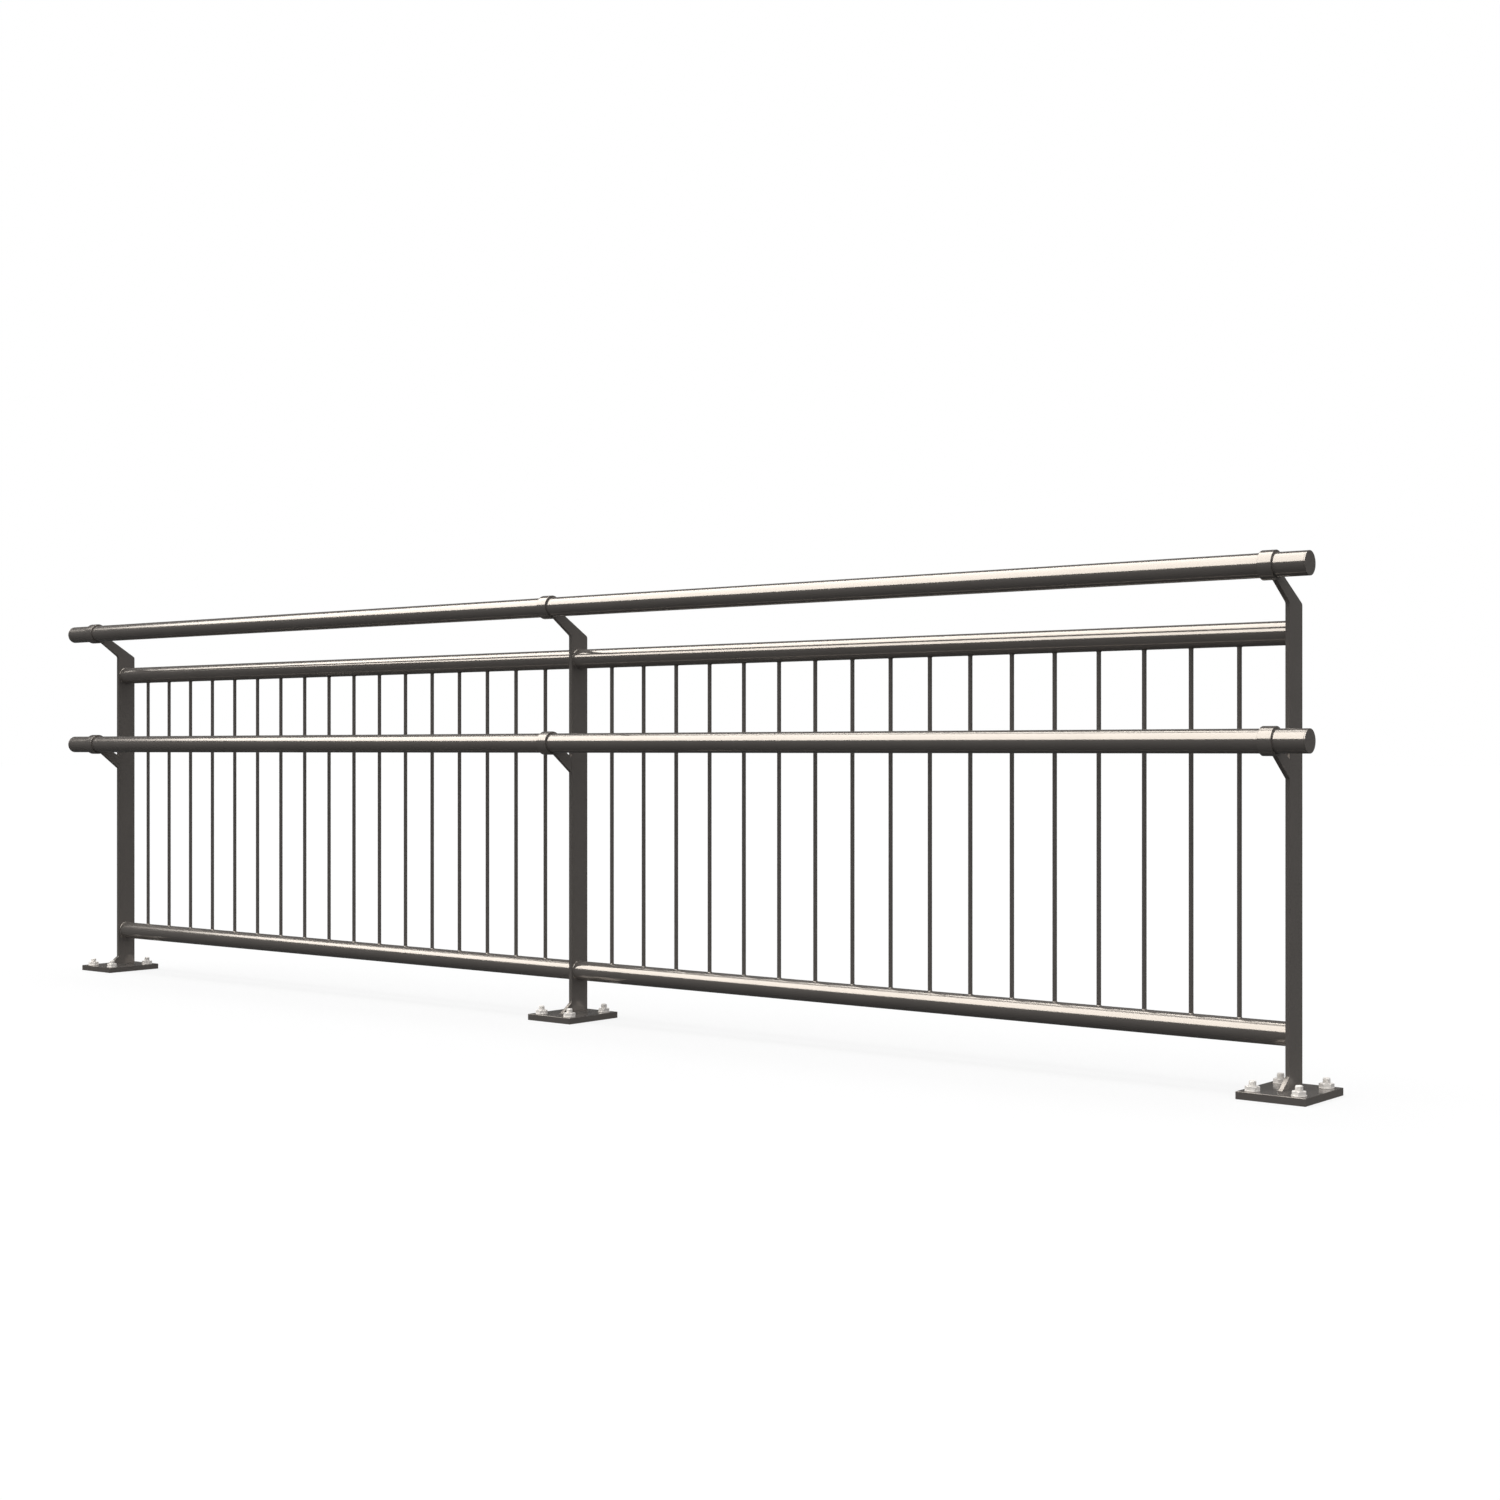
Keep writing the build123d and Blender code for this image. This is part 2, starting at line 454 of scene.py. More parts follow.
def mottle_group():
    """Two tones mixed by soft clouds and by fine flakes, with the clouds as a mask."""
    inputs = {"Vector": "NodeSocketVector", "Light": "NodeSocketColor", "Dark": "NodeSocketColor",
              "Cloud Scale": "NodeSocketFloat", "Flake Scale": "NodeSocketFloat"}
    outputs = {"Color": "NodeSocketColor", "Cloud": "NodeSocketFloat"}
    group = bpy.data.node_groups.new(MOTTLE_NAME, "ShaderNodeTree")
    for direction, sockets in (("INPUT", inputs), ("OUTPUT", outputs)):
        for socket, kind in sockets.items():
            group.interface.new_socket(name=socket, in_out=direction, socket_type=kind)
    source = add_node(group, "NodeGroupInput")
    result = add_node(group, "NodeGroupOutput")
    clouds = add_node(group, "ShaderNodeTexNoise", {"Detail": CLOUD_DETAIL})
    flakes = add_node(group, "ShaderNodeTexVoronoi")
    shade = add_node(group, "ShaderNodeSeparateColor")
    blend = add_node(group, "ShaderNodeMath", {1: FLAKE_SHARE})
    blend.operation = "MULTIPLY_ADD"
    tones = add_node(group, "ShaderNodeMix")
    tones.data_type = "RGBA"
    link = group.links.new
    link(source.outputs["Vector"], clouds.inputs["Vector"])
    link(source.outputs["Vector"], flakes.inputs["Vector"])
    link(source.outputs["Cloud Scale"], clouds.inputs["Scale"])
    link(source.outputs["Flake Scale"], flakes.inputs["Scale"])
    link(flakes.outputs["Color"], shade.inputs["Color"])
    link(shade.outputs["Red"], blend.inputs[0])
    link(clouds.outputs["Fac"], blend.inputs[2])
    link(blend.outputs[0], tones.inputs["Factor"])
    link(source.outputs["Dark"], tones.inputs["A"])
    link(source.outputs["Light"], tones.inputs["B"])
    link(tones.outputs["Result"], result.inputs["Color"])
    link(clouds.outputs["Fac"], result.inputs["Cloud"])
    return group


def finish_material(name, tones, roughness, metal, clouds, flakes, skin, grain):
    """Principled finish: mottled colour, roughness from the clouds, and a fine bumped skin.

    tones and roughness are pairs, metal is the share of metal, clouds, flakes and grain are the
    scales of the patterns, and skin is the bump's strength.
    """
    material = bpy.data.materials.new(name)
    material.use_nodes = True
    tree = material.node_tree
    link = tree.links.new
    shader = tree.nodes["Principled BSDF"]
    shader.inputs["Metallic"].default_value = metal
    place = add_node(tree, "ShaderNodeTexCoord")
    mottle = add_node(tree, "ShaderNodeGroup")
    mottle.node_tree = bpy.data.node_groups.get(MOTTLE_NAME) or mottle_group()
    mottle.inputs["Light"].default_value = (*tones[0], 1.0)
    mottle.inputs["Dark"].default_value = (*tones[1], 1.0)
    mottle.inputs["Cloud Scale"].default_value = clouds
    mottle.inputs["Flake Scale"].default_value = flakes
    ends = {"To Min": roughness[0], "To Max": roughness[1]}
    rough = add_node(tree, "ShaderNodeMapRange", ends)
    relief = add_node(tree, "ShaderNodeTexNoise", {"Scale": grain})
    bump = add_node(tree, "ShaderNodeBump", {"Strength": skin, "Distance": SKIN_HEIGHT})
    link(place.outputs["Object"], mottle.inputs["Vector"])
    link(place.outputs["Object"], relief.inputs["Vector"])
    link(mottle.outputs["Color"], shader.inputs["Base Color"])
    link(mottle.outputs["Cloud"], rough.inputs["Value"])
    link(rough.outputs["Result"], shader.inputs["Roughness"])
    link(relief.outputs["Fac"], bump.inputs["Height"])
    link(bump.outputs["Normal"], shader.inputs["Normal"])
    return material


def paint():
    """The railing's paint, made on first use."""
    finish = bpy.context.scene.railing_finish
    return bpy.data.materials.get(PAINT_NAME) or finish_material(
        PAINT_NAME, (finish.paint_light, finish.paint_dark), finish.paint_roughness,
        finish.paint_metal, clouds=9.0, flakes=900.0, skin=0.012, grain=320.0)


def zinc():
    """The fixings' zinc plating, made on first use."""
    finish = bpy.context.scene.railing_finish
    return bpy.data.materials.get(ZINC_NAME) or finish_material(
        ZINC_NAME, (finish.zinc_light, finish.zinc_dark), finish.zinc_roughness,
        finish.zinc_metal, clouds=160.0, flakes=1200.0, skin=0.08, grain=900.0)


def bolt_mount(side):
    """The record's bolt pattern of one base plate."""
    return next(mount for mount in frame["record"]["mounts"] if mount["name"] == f"{side}_bolts")


def bolt_places(side):
    """X and Y of the four bolts of one base plate."""
    mount = bolt_mount(side)
    spacing = np.array([mount["dims"]["spacing_x_mm"], mount["dims"]["spacing_y_mm"]])
    signs = np.array([(-1, -1), (1, -1), (1, 1), (-1, 1)])
    return np.array(mount["pos_m"][:2]) + signs * spacing / MM_PER_METRE / 2


def rectangle(low, high, steps):
    """Anticlockwise rectangle with each side divided evenly, as whole arrays."""
    share = np.linspace(0, 1, steps, endpoint=False)[:, None]
    corners = np.array([low, (high[0], low[1]), high, (low[0], high[1])])
    ahead = np.roll(corners, -1, axis=0)
    return (corners[:, None] + share * (ahead - corners)[:, None]).reshape(-1, 2)


def holed_quarter(low, high, hole, radius, thickness, rounding):
    """One quarter of a base plate, from its underside through the hole's wall to its top.

    Each point of the quarter's rectangle has its partner on the hole in the same direction, and
    the hole's two rims are eased by quarter circles.
    """
    border = rectangle(low, high, QUARTER_STEPS)
    spoke = border - hole
    spoke /= np.linalg.norm(spoke, axis=1, keepdims=True)
    set_in, climb = eased_edges(thickness, rounding)
    rims = hole + (radius + set_in)[:, None, None] * spoke
    flat = np.concatenate([border[None], rims, border[None]])
    height = np.concatenate([[-thickness / 2], climb, [thickness / 2]])
    points, quads, _ = ring_shell(at_heights(flat, height))
    return points, quads, []


def base_plate_shell(side, sizes):
    """Base plate: four quarters with a hole each, closed by an eased rim round the whole plate."""
    low, high = (np.array(corner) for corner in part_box(f"base_plate_{side}"))
    middle, thickness = (low + high) / 2, high[Z] - low[Z]
    radius = bolt_mount(side)["dims"]["hole_r_mm"] / MM_PER_METRE
    rounding = sizes.edge_rounding
    inner_low, inner_high = low[:2] + rounding, high[:2] - rounding
    shells = []
    for bolt in bolt_places(side):
        corner = np.where(bolt > middle[:2], inner_high, inner_low)
        quarter_low = np.minimum(middle[:2], corner)
        quarter_high = np.maximum(middle[:2], corner)
        shells.append(holed_quarter(quarter_low, quarter_high, bolt, radius, thickness, rounding))
    outline = inset(rectangle(inner_low, inner_high, 2 * QUARTER_STEPS), -rounding)
    points, quads, _ = ring_shell(plate_rings(outline, thickness, rounding))
    shells.append((points, quads[:, ::-1], []))
    points, quads, ends = merge_shells(shells)
    points = points + np.array([0, 0, middle[Z]])
    return weld_points((points, quads, ends))


def post_x(side):
    """Place of a post along the railing."""
    return node_middle(f"post_{side}")[X]


def sleeve_circle(level):
    """Centre in Y and Z, and outer radius, of the sleeves on one handrail."""
    node = f"{level}_sleeves"
    return node_middle(node)[Y:], node_size(node)[Y] / 2


def arm_tips(level, tip_height):
    """Upper and lower point of an arm's taper on the handrail's axis."""
    centre, _ = sleeve_circle(level)
    rise = np.array([0.0, tip_height / 2])
    return centre + rise, centre - rise


def meet_circle(start, end, centre, radius):
    """First point of the line from start to end on a circle, from the smaller root."""
    run = end - start
    gap = start - centre
    a, b, c = run @ run, 2 * (run @ gap), gap @ gap - radius * radius
    return start + run * (-b - math.sqrt(b * b - 4 * a * c)) / (2 * a)


def cope_arc(upper_edge, lower_edge, centre, radius):
    """Arc of the sleeve between an arm's upper and lower edge, each given as start and end."""
    spokes = [meet_circle(*edge, centre, radius) - centre for edge in (upper_edge, lower_edge)]
    first, last = (math.atan2(spoke[1], spoke[0]) for spoke in spokes)
    angle = np.linspace(first, last, COPE_STEPS)
    return centre + radius * np.stack([np.cos(angle), np.sin(angle)], axis=1)


def post_outline(side, sizes):
    """Post's profile in Y and Z: straight foot, rounded crank, arm tapered and coped."""
    low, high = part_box(f"post_{side}")
    centre, radius = sleeve_circle("upper")
    upper_tip, lower_tip = arm_tips("upper", sizes.tip_height)
    back, bend = high[Y], centre[1] - sizes.bend_drop
    foot = np.array([(-back, low[Z]), (back, low[Z])])
    back_bend, front_bend = np.array([back, bend]), np.array([-back, bend])
    corners = [*foot, back_bend, upper_tip, lower_tip, front_bend]
    _, _, back_arc, _, _, front_arc = round_corners(corners, sizes.bend_radius, BEND_STEPS)
    cope = cope_arc((back_bend, upper_tip), (front_bend, lower_tip), centre, radius)
    return np.concatenate([foot, back_arc, cope, front_arc])


def bracket_outline(side, sizes):
    """Lower bracket's profile in Y and Z: a foot on the post's edge, tapered and coped."""
    low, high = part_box(f"lower_bracket_{side}")
    centre, radius = sleeve_circle("lower")
    upper_tip, lower_tip = arm_tips("lower", sizes.tip_height)
    foot_low = np.array([high[Y], low[Z]])
    foot_high = foot_low + np.array([0.0, sizes.bracket_foot_height])
    cope = cope_arc((foot_high, upper_tip), (foot_low, lower_tip), centre, radius)
    return np.concatenate([[foot_low, foot_high], cope])


def gusset_outline(side, sizes):
    """Gusset's profile in Y and Z: a triangle with a blunt toe."""
    low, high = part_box(f"toe_gusset_{side}")
    toe = low[Z] + sizes.gusset_toe
    return np.array([(low[Y], low[Z]), (high[Y], low[Z]), (high[Y], high[Z]), (low[Y], toe)])


def tube_circle(node):
    """Point on the axis of a packed tube that lies along X, and its outer radius."""
    return np.array([0, *node_middle(node)[Y:]]), node_size(node)[Y] / 2


def tube_shell(node, sizes):
    """Open tube in the place of a packed one, with its ends eased to show as seams."""
    low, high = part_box(node)
    centre, outer = tube_circle(node)
    seam = sizes.edge_rounding / 2
    profile = tube_profile(low[X], high[X], outer - sizes.tube_wall, outer, seam)
    return lathe(profile, centre, X, TUBE_SEGMENTS)


def cap_shells(level, sizes):
    """A handrail's two end discs: each is the outer half of an eased rectangle, turned."""
    caps_low, caps_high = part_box(f"{level}_end_caps")
    tube_low, tube_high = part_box(f"{level}_handrail")
    centre, outer = tube_circle(f"{level}_handrail")
    caps = []
    for start, end in ((caps_low[X], tube_low[X]), (tube_high[X], caps_high[X])):
        corners = [(start, 0), (start, outer), (end, outer), (end, 0)]
        _, start_rim, end_rim, _ = round_corners(corners, sizes.edge_rounding / 2)
        rim = np.concatenate([start_rim, end_rim])
        caps.append(lathe(rim, centre, X, TUBE_SEGMENTS, closed=False))
    return caps


def sleeve_shells(level, sizes):
    """Short rings with eased rims, one at each post, from the handrail's skin outwards."""
    centre, inner = tube_circle(f"{level}_handrail")
    _, outer = sleeve_circle(level)
    low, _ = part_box(f"{level}_sleeves")
    half = post_x("left") - low[X]
    rings = []
    for side in SIDES:
        start, end = post_x(side) - half, post_x(side) + half
        profile = tube_profile(start, end, inner, outer, sizes.edge_rounding)
        rings.append(lathe(profile, centre, X, TUBE_SEGMENTS))
    return rings


def bar_radius(bay):
    """Radius of the round bars of one bay."""
    return node_size(f"balusters_{bay}")[Y] / 2


def bar_places(bay, count):
    """X of the bars of one bay, evenly from the first to the last."""
    low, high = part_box(f"balusters_{bay}")
    radius = bar_radius(bay)
    return np.linspace(low[X] + radius, high[X] - radius, count)


def saddle(bay, rail, angle):
    """Height of a bar's end: the rail's axis, plus or less its circle's height at depth Y."""
    centre, rail_radius = tube_circle(f"{rail}_{bay}")
    rise = np.sqrt(rail_radius ** 2 - (bar_radius(bay) * np.sin(angle)) ** 2)
    return centre[Z] + RAILS[rail] * rise


def bar_shell(bay, place):
    """Round bar whose two ends follow the saddles of the rails."""
    radius = bar_radius(bay)
    angle = full_turn(BAR_SEGMENTS)
    across = np.stack([place + radius * np.cos(angle), radius * np.sin(angle)], axis=1)
    ends = [saddle(bay, rail, angle) for rail in reversed(RAILS)]
    return ring_shell(np.stack([np.column_stack([across, height]) for height in ends]))


def weld_bead(path, out, up, leg, ripple, closed):
    """Rippled fillet bead along a path in the corner between two surfaces.

    Its profile goes from leg * out to leg * up by powers of cosine and sine, and back to a root
    just inside the corner. The leg grows and shrinks by a sine of the path's length.
    """
    turn = np.linspace(0, np.pi / 2, BEAD_STEPS)
    across, upward = np.cos(turn) ** BEAD_POWER, np.sin(turn) ** BEAD_POWER
    steps = np.linalg.norm(np.diff(path + leg * out, axis=0), axis=1)
    length = np.concatenate([[0], np.cumsum(steps)])
    size = leg * (1 + BEAD_SWELL * np.sin(2 * np.pi * length / ripple))
    spread = across[None, :, None] * out[:, None] + upward[None, :, None] * up[:, None]
    skin = path[:, None] + size[:, None, None] * spread
    root = path - BEAD_ROOT * leg * (out + up)
    return ring_shell(np.concatenate([skin, root[:, None]], axis=1), closed)


def foot_bead(side, sizes):
    """Bead round a post's foot: along one side from the gusset's toe, round the back, and back."""
    low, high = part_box(f"post_{side}")
    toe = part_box(f"toe_gusset_{side}")[0][Y]
    half, back, top = (high[X] - low[X]) / 2, high[Y], low[Z]
    run = np.linspace(toe, back, FOOT_SIDE_STEPS)
    corner = np.linspace(0, np.pi / 2, FOOT_CORNER_STEPS + 2)[1:-1]
    rear = np.linspace(half, -half, FOOT_BACK_STEPS)
    flank = np.full(FOOT_SIDE_STEPS + FOOT_CORNER_STEPS, half)
    place_x = np.concatenate([flank, rear, -flank])
    place_y = np.concatenate([run, np.full(2 * len(corner) + len(rear), back), run[::-1]])
    heading = np.concatenate([np.zeros(len(run)), corner, np.full(len(rear), np.pi / 2),
                              corner + np.pi / 2, np.full(len(run), np.pi)])
    path = np.column_stack([place_x + post_x(side), place_y, np.full(len(heading), top)])
    out = np.column_stack([np.cos(heading), np.sin(heading), np.zeros(len(heading))])
    up = np.broadcast_to([0.0, 0.0, 1.0], out.shape)
    return weld_bead(path, out, up, sizes.weld_leg, sizes.weld_ripple, closed=False)


def cope_beads(kind, level, side, sizes):
    """Beads on both faces of an arm along its cope, lying on the sleeve and on the arm."""
    outline = post_outline(side, sizes) if kind == "post" else bracket_outline(side, sizes)
    centre, radius = sleeve_circle(level)
    spoke = outline - centre
    on_cope = np.isclose(np.linalg.norm(spoke, axis=1), radius, atol=1e-6)
    ends = spoke[on_cope][[0, -1]]
    first, last = np.arctan2(ends[:, 1], ends[:, 0])
    angle = np.linspace(first, last, COPE_BEAD_STEPS)
    radial = np.column_stack([np.zeros_like(angle), np.cos(angle), np.sin(angle)])
    half = node_size(f"{kind}_{side}")[X] / 2
    beads = []
    for face in (-1.0, 1.0):
        out = np.broadcast_to([face, 0.0, 0.0], radial.shape)
        path = np.array([post_x(side), *centre]) + half * out + radius * radial
        beads.append(weld_bead(path, out, radial, sizes.weld_leg, sizes.weld_ripple, closed=False))
    return beads


def rail_bead(node, at_start, sizes):
    """Ring shaped bead where a rail's end meets a post's side."""
    low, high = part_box(node)
    centre, radius = tube_circle(node)
    centre[X] = low[X] if at_start else high[X]
    angle = full_turn(RAIL_BEAD_STEPS)
    radial = np.column_stack([np.zeros_like(angle), np.cos(angle), np.sin(angle)])
    up = np.broadcast_to([1.0 if at_start else -1.0, 0.0, 0.0], radial.shape)
    path = centre + radius * radial
    return weld_bead(path, radial, up, sizes.weld_leg, sizes.weld_ripple, closed=True)


def bar_bead(bay, place, rail, sizes):
    """Small collar bead where a bar's saddle meets a rail."""
    angle = full_turn(BAR_SEGMENTS)
    radial = np.column_stack([np.cos(angle), np.sin(angle), np.zeros_like(angle)])
    path = np.array([place, 0, 0]) + bar_radius(bay) * radial
    path[:, Z] = saddle(bay, rail, angle)
    up = np.broadcast_to([0.0, 0.0, RAILS[rail]], radial.shape)
    return weld_bead(path, radial, up, sizes.bar_weld_leg, sizes.weld_ripple, closed=True)


def washer_shell(place, base, fixings):
    """Flat ring with eased rims, turned about the bolt."""
    top = base + fixings.washer_thickness
    profile = tube_profile(
        base, top, fixings.stud_radius, fixings.washer_radius, WASHER_ROUNDING)
    return lathe(profile, [*place, 0], Z, WASHER_SEGMENTS)


def about_bolt(place, reach, angle, height):
    """Array of ring, point, coordinate at a reach from the bolt's axis, by angle and height."""
    height = np.broadcast_to(height, reach.shape)
    return np.stack([place[X] + reach * np.cos(angle), place[Y] + reach * np.sin(angle), height],
                    axis=-1)


def nut_shell(place, base, turn, fixings):
    """Hexagon nut with a flat seat and a chamfered top.

    The hexagon's radius at an angle is its apothem / cos(angle from the nearest flat's middle).
    Outside a circle a little inside the flats, the top falls away evenly.
    """
    angle = full_turn(NUT_SEGMENTS)
    apothem, height = fixings.nut_flats / 2, fixings.nut_height
    from_flat = np.mod(angle + np.pi / 6, np.pi / 3) - np.pi / 6
    hexagon = apothem / np.cos(from_flat)
    circle = np.full_like(angle, apothem * NUT_CROWN)
    bore = np.full_like(angle, fixings.stud_radius)
    fall = (hexagon - circle) * math.tan(NUT_CHAMFER)
    seat, top = np.zeros_like(angle), np.full_like(angle, height)
    reach = np.stack([bore, hexagon, hexagon, circle, bore])
    climb = np.stack([seat, seat, height - fall, top, top])
    return ring_shell(about_bolt(place, reach, angle + turn, base + climb), closed=True)


def stud_shell(place, start, end, fixings):
    """Threaded stud: the radius waves with height less the turn's share of one pitch.

    The wave fades into a chamfer at the top, and the end is flat.
    """
    angle = full_turn(STUD_SEGMENTS)
    pitch = fixings.thread_pitch
    climb = np.linspace(start, end, int((end - start) / pitch * THREAD_STEPS))[:, None]
    wave = 0.5 + 0.5 * np.cos(2 * np.pi * (climb / pitch) - angle)
    thread = fixings.stud_radius - THREAD_DEPTH * wave
    reach = np.minimum(thread, fixings.stud_radius - STUD_CHAMFER + (end - climb))
    return ring_shell(about_bolt(place, reach, angle, climb))


class RAILING_OT_base_plates(bpy.types.Operator):
    """Base plates with eased rims and four bolt holes"""

    bl_idname = "railing.base_plates"
    bl_label = "Base Plates"

    def execute(self, context):
        sizes = context.scene.railing_sizes
        for side in SIDES:
            shell = base_plate_shell(side, sizes)
            add_piece(f"plate_{side}", [shell], paint(), [f"base_plate_{side}"])
        return {"FINISHED"}


class RAILING_OT_posts(bpy.types.Operator):
    """Cranked flat posts, lower brackets and toe gussets"""

    bl_idname = "railing.posts"
    bl_label = "Posts"

    def execute(self, context):
        sizes = context.scene.railing_sizes
        outlines = {"post": post_outline, "lower_bracket": bracket_outline,
                    "toe_gusset": gusset_outline}
        for kind, outline in outlines.items():
            for side in SIDES:
                node = f"{kind}_{side}"
                thickness = node_size(node)[X]
                shell = upright_plate(
                    outline(side, sizes), thickness, sizes.edge_rounding, post_x(side))
                add_piece(f"{node}_plate", [shell], paint(), [node])
        return {"FINISHED"}


class RAILING_OT_handrails(bpy.types.Operator):
    """Handrail tubes with their end caps and sleeves"""

    bl_idname = "railing.handrails"
    bl_label = "Handrails"

    def execute(self, context):
        sizes = context.scene.railing_sizes
        for level in LEVELS:
            node = f"{level}_handrail"
            add_piece(f"{level}_tube", [tube_shell(node, sizes)], paint(), [node])
            caps = cap_shells(level, sizes)
            add_piece(f"{level}_caps", caps, paint(), [f"{level}_end_caps"])
            rings = sleeve_shells(level, sizes)
            add_piece(f"{level}_rings", rings, paint(), [f"{level}_sleeves"])
        return {"FINISHED"}


class RAILING_OT_panels(bpy.types.Operator):
    """Panel rails and their round bars"""

    bl_idname = "railing.panels"
    bl_label = "Panels"

    def execute(self, context):
        sizes = context.scene.railing_sizes
        for bay in BAYS:
            for rail in RAILS:
                node = f"{rail}_{bay}"
                add_piece(f"{node}_tube", [tube_shell(node, sizes)], paint(), [node])
            bars = [bar_shell(bay, place) for place in bar_places(bay, sizes.bars_per_bay)]
            add_piece(f"bars_{bay}", bars, paint(), [f"balusters_{bay}"])
        return {"FINISHED"}


class RAILING_OT_welds(bpy.types.Operator):
    """Painted weld beads on posts, sleeves, rails and bars"""

    bl_idname = "railing.welds"
    bl_label = "Welds"

    def execute(self, context):
        sizes = context.scene.railing_sizes
        for side in SIDES:
            beads = [foot_bead(side, sizes)]
            beads += cope_beads("post", "upper", side, sizes)
            beads += cope_beads("lower_bracket", "lower", side, sizes)
            add_piece(f"post_welds_{side}", beads, paint())
        for bay in BAYS:
            beads = []
            for rail in RAILS:
                beads += [rail_bead(f"{rail}_{bay}", at_start, sizes) for at_start in (True, False)]
                beads += [bar_bead(bay, place, rail, sizes)
                          for place in bar_places(bay, sizes.bars_per_bay)]
            add_piece(f"panel_welds_{bay}", beads, paint())
        return {"FINISHED"}


class RAILING_OT_fixings(bpy.types.Operator):
    """Washers, nuts and threaded studs on the base plates"""

    bl_idname = "railing.fixings"
    bl_label = "Fixings"

    def execute(self, context):
        fixings = context.scene.railing_fixings
        for index, side in enumerate(SIDES):
            low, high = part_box(f"base_plate_{side}")
            places = bolt_places(side)
            seat = high[Z] + fixings.washer_thickness
            top = high[Z] + fixings.stud_height
            turns = NUT_TURNS + index * NUT_TURN_STEP
            washers = [washer_shell(place, high[Z], fixings) for place in places]
            nuts = [nut_shell(place, seat, turn, fixings) for place, turn in zip(places, turns)]
            studs = [stud_shell(place, low[Z], top, fixings) for place in places]
            for kind, shells in {"washers": washers, "nuts": nuts, "studs": studs}.items():
                add_piece(f"{kind}_{side}", shells, zinc())
        return {"FINISHED"}


def seen_rays(tree):
    """Socket that is one for camera, glossy and transmission rays, and nought for the rest."""
    path = add_node(tree, "ShaderNodeLightPath")
    seen = path.outputs["Is Camera Ray"]
    for ray in ("Is Glossy Ray", "Is Transmission Ray"):
        either = add_node(tree, "ShaderNodeMath")
        either.operation = "MAXIMUM"
        tree.links.new(seen, either.inputs[0])
        tree.links.new(path.outputs[ray], either.inputs[1])
        seen = either.outputs[0]
    return seen


def floor_material():
    """Pale floor that is seen nearly white and keeps a soft shadow."""
    material = bpy.data.materials.new("pale_floor")
    material.use_nodes = True
    tree = material.node_tree
    link = tree.links.new
    pale = tree.nodes["Principled BSDF"]
    pale.inputs["Base Color"].default_value = (FLOOR_GREY, FLOOR_GREY, FLOOR_GREY, 1.0)
    pale.inputs["Specular IOR Level"].default_value = 0.0
    white = add_node(tree, "ShaderNodeEmission", {"Strength": FLOOR_GLOW})
    share = add_node(tree, "ShaderNodeMath", {1: FLOOR_GLOW_SHARE})
    share.operation = "MULTIPLY"
    mix = add_node(tree, "ShaderNodeMixShader")
    link(seen_rays(tree), share.inputs[0])
    link(share.outputs[0], mix.inputs["Fac"])
    link(pale.outputs["BSDF"], mix.inputs[1])
    link(white.outputs["Emission"], mix.inputs[2])
    link(mix.outputs["Shader"], tree.nodes["Material Output"].inputs["Surface"])
    return material


def glow_material(name, strength, colour=(1.0, 1.0, 1.0)):
    """Even glow of one colour and brightness."""
    material = bpy.data.materials.new(name)
    material.use_nodes = True
    tree = material.node_tree
    tree.nodes.remove(tree.nodes["Principled BSDF"])
    values = {"Color": (*colour, 1.0), "Strength": strength}
    glow = add_node(tree, "ShaderNodeEmission", values)
    tree.links.new(glow.outputs["Emission"], tree.nodes["Material Output"].inputs["Surface"])
    return material


def show_in_gloss_only(stage_piece):
    """Leave a stage piece to glossy rays, so that it lights nothing and casts no shadow."""
    stage_piece.visible_camera = False
    stage_piece.visible_diffuse = False
    stage_piece.visible_shadow = False
    stage_piece.visible_transmission = False


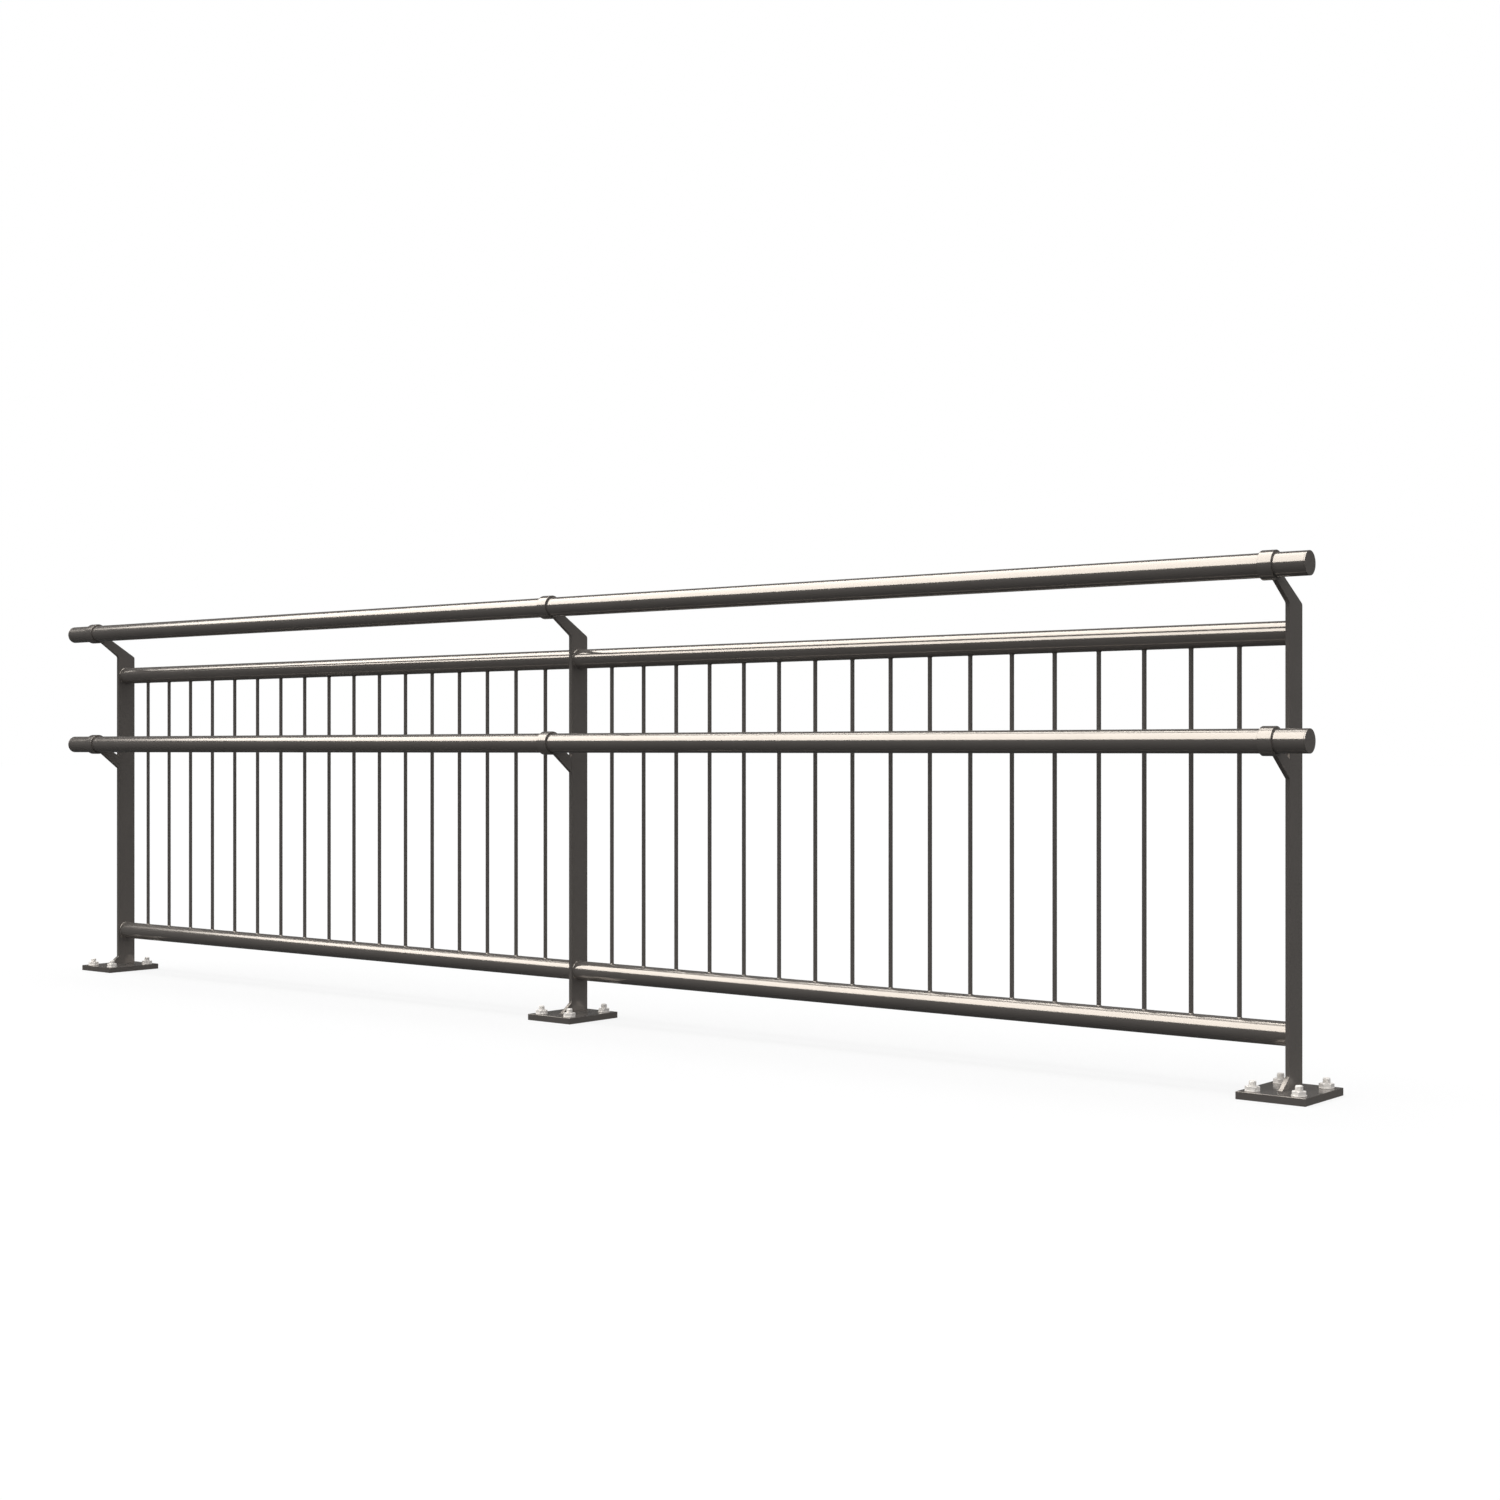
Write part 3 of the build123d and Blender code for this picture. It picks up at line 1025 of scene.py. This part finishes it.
class RAILING_OT_stage(bpy.types.Operator):
    """Pale floor, dark walls, softbox, soft lamp, even surroundings and camera"""

    bl_idname = "railing.stage"
    bl_label = "Stage"

    def execute(self, context):
        scene = context.scene
        stage = scene.railing_stage
        scene.view_settings.view_transform = "Standard"
        self.add_floor()
        self.add_walls(stage)
        self.add_softbox(stage)
        self.add_world(scene, stage)
        self.add_lamp(scene, stage)
        self.add_camera(scene, stage)
        return {"FINISHED"}

    def add_floor(self):
        """Flat square that reaches far behind the railing."""
        square = rectangle((-FLOOR_REACH, -FLOOR_REACH), (FLOOR_REACH, FLOOR_REACH), 1)
        points = np.column_stack([square, np.zeros(len(square))])
        floor = add_mesh("floor", [(points, np.array([[0, 1, 2, 3]]), [])], floor_material())
        floor.visible_glossy = False
        floor.visible_diffuse = False

    def add_walls(self, stage):
        """Large dark sphere round the set: half a circle, turned about the vertical."""
        turn = np.linspace(POLE_GAP, np.pi - POLE_GAP, WALL_STEPS)
        profile = WALL_RADIUS * np.stack([-np.cos(turn), np.sin(turn)], axis=1)
        walls = add_mesh(
            "studio_walls", [lathe(profile, [0, 0, 0], Z, WALL_SEGMENTS, closed=False)],
            glow_material("studio_walls", stage.wall_shade))
        show_in_gloss_only(walls)

    def add_softbox(self, stage):
        """Round bowl of light: a cap of a sphere about the direction that it faces.

        A point is the sphere's radius times cos(lean) along that direction, plus sin(lean) times
        a circle across it, with lean from the middle to the spread at the rim.
        """
        facing = np.array(stage.softbox_facing)
        facing /= np.linalg.norm(facing)
        across = np.cross(facing, (1.0, 0.0, 0.0))
        across /= np.linalg.norm(across)
        upward = np.cross(facing, across)
        turn = full_turn(SOFTBOX_SEGMENTS)
        circle = np.cos(turn)[:, None] * across + np.sin(turn)[:, None] * upward
        lean = np.linspace(POLE_GAP, stage.softbox_spread, SOFTBOX_STEPS)[:, None, None]
        rings = SOFTBOX_RADIUS * (np.cos(lean) * facing + np.sin(lean) * circle)
        points, quads, ends = ring_shell(rings + np.array(SOFTBOX_CENTRE))
        softbox = add_mesh(
            "softbox", [(points, quads, ends[:1])],
            glow_material("softbox", stage.softbox_strength, stage.softbox_colour))
        show_in_gloss_only(softbox)

    def add_world(self, scene, stage):
        """White where it is seen, and elsewhere an even light that is stronger from above."""
        world = bpy.data.worlds.new("studio")
        world.use_nodes = True
        tree = world.node_tree
        link = tree.links.new
        place = add_node(tree, "ShaderNodeTexCoord")
        height = add_node(tree, "ShaderNodeSeparateXYZ")
        light = add_node(tree, "ShaderNodeMapRange", {
            "From Min": -HORIZON_BLEND, "From Max": HORIZON_BLEND,
            "To Min": stage.ground_light, "To Max": stage.sky_light})
        light.interpolation_type = "SMOOTHSTEP"
        strength = add_node(tree, "ShaderNodeMix", {"B": 1.0})
        sky = tree.nodes["Background"]
        sky.inputs["Color"].default_value = (1.0, 1.0, 1.0, 1.0)
        link(place.outputs["Generated"], height.inputs["Vector"])
        link(height.outputs["Z"], light.inputs["Value"])
        link(light.outputs["Result"], strength.inputs["A"])
        link(seen_rays(tree), strength.inputs["Factor"])
        link(strength.outputs["Result"], sky.inputs["Strength"])
        scene.world = world

    def add_lamp(self, scene, stage):
        """Wide soft lamp from above, a little in front and to the left."""
        lamp = bpy.data.lights.new("overhead_lamp", "SUN")
        lamp.energy = stage.lamp_strength
        lamp.angle = stage.lamp_spread
        key = bpy.data.objects.new("overhead_lamp", lamp)
        key.rotation_euler = stage.lamp_turn
        key.visible_glossy = False
        scene.collection.objects.link(key)

    def add_camera(self, scene, stage):
        """Level camera at the photograph's viewing angle."""
        lens = bpy.data.cameras.new("camera")
        lens.sensor_width = SENSOR_WIDTH
        lens.lens = stage.lens
        lens.clip_end = VIEW_REACH
        camera = bpy.data.objects.new("camera", lens)
        camera.location = stage.camera_place
        camera.rotation_euler = (math.pi / 2, 0.0, stage.camera_heading)
        scene.collection.objects.link(camera)
        scene.camera = camera


OPERATORS = (
    RAILING_OT_base_plates,
    RAILING_OT_posts,
    RAILING_OT_handrails,
    RAILING_OT_panels,
    RAILING_OT_welds,
    RAILING_OT_fixings,
    RAILING_OT_stage,
)
GROUPS = {
    "railing_sizes": RailingSizes,
    "railing_fixings": RailingFixings,
    "railing_finish": RailingFinish,
    "railing_stage": RailingStage,
}


class RAILING_PT_sidebar(bpy.types.Panel):
    """Values and steps of the railing"""

    bl_label = "Steel Railing"
    bl_idname = "RAILING_PT_sidebar"
    bl_space_type = "VIEW_3D"
    bl_region_type = "UI"
    bl_category = "Railing"

    def draw(self, context):
        for group in GROUPS:
            values = getattr(context.scene, group)
            box = self.layout.box()
            for name in values.__annotations__:
                box.prop(values, name)
        for operator in OPERATORS:
            self.layout.operator(operator.bl_idname)


CLASSES = (*GROUPS.values(), *OPERATORS, RAILING_PT_sidebar)


def register():
    for cls in CLASSES:
        bpy.utils.register_class(cls)
    for name, group in GROUPS.items():
        setattr(bpy.types.Scene, name, PointerProperty(type=group))


def unregister():
    for name in GROUPS:
        delattr(bpy.types.Scene, name)
    for cls in reversed(CLASSES):
        bpy.utils.unregister_class(cls)


def main():
    """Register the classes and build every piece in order."""
    register()
    bpy.ops.railing.base_plates()
    bpy.ops.railing.posts()
    bpy.ops.railing.handrails()
    bpy.ops.railing.panels()
    bpy.ops.railing.welds()
    bpy.ops.railing.fixings()
    bpy.ops.railing.stage()


if __name__ == "__main__":
    main()
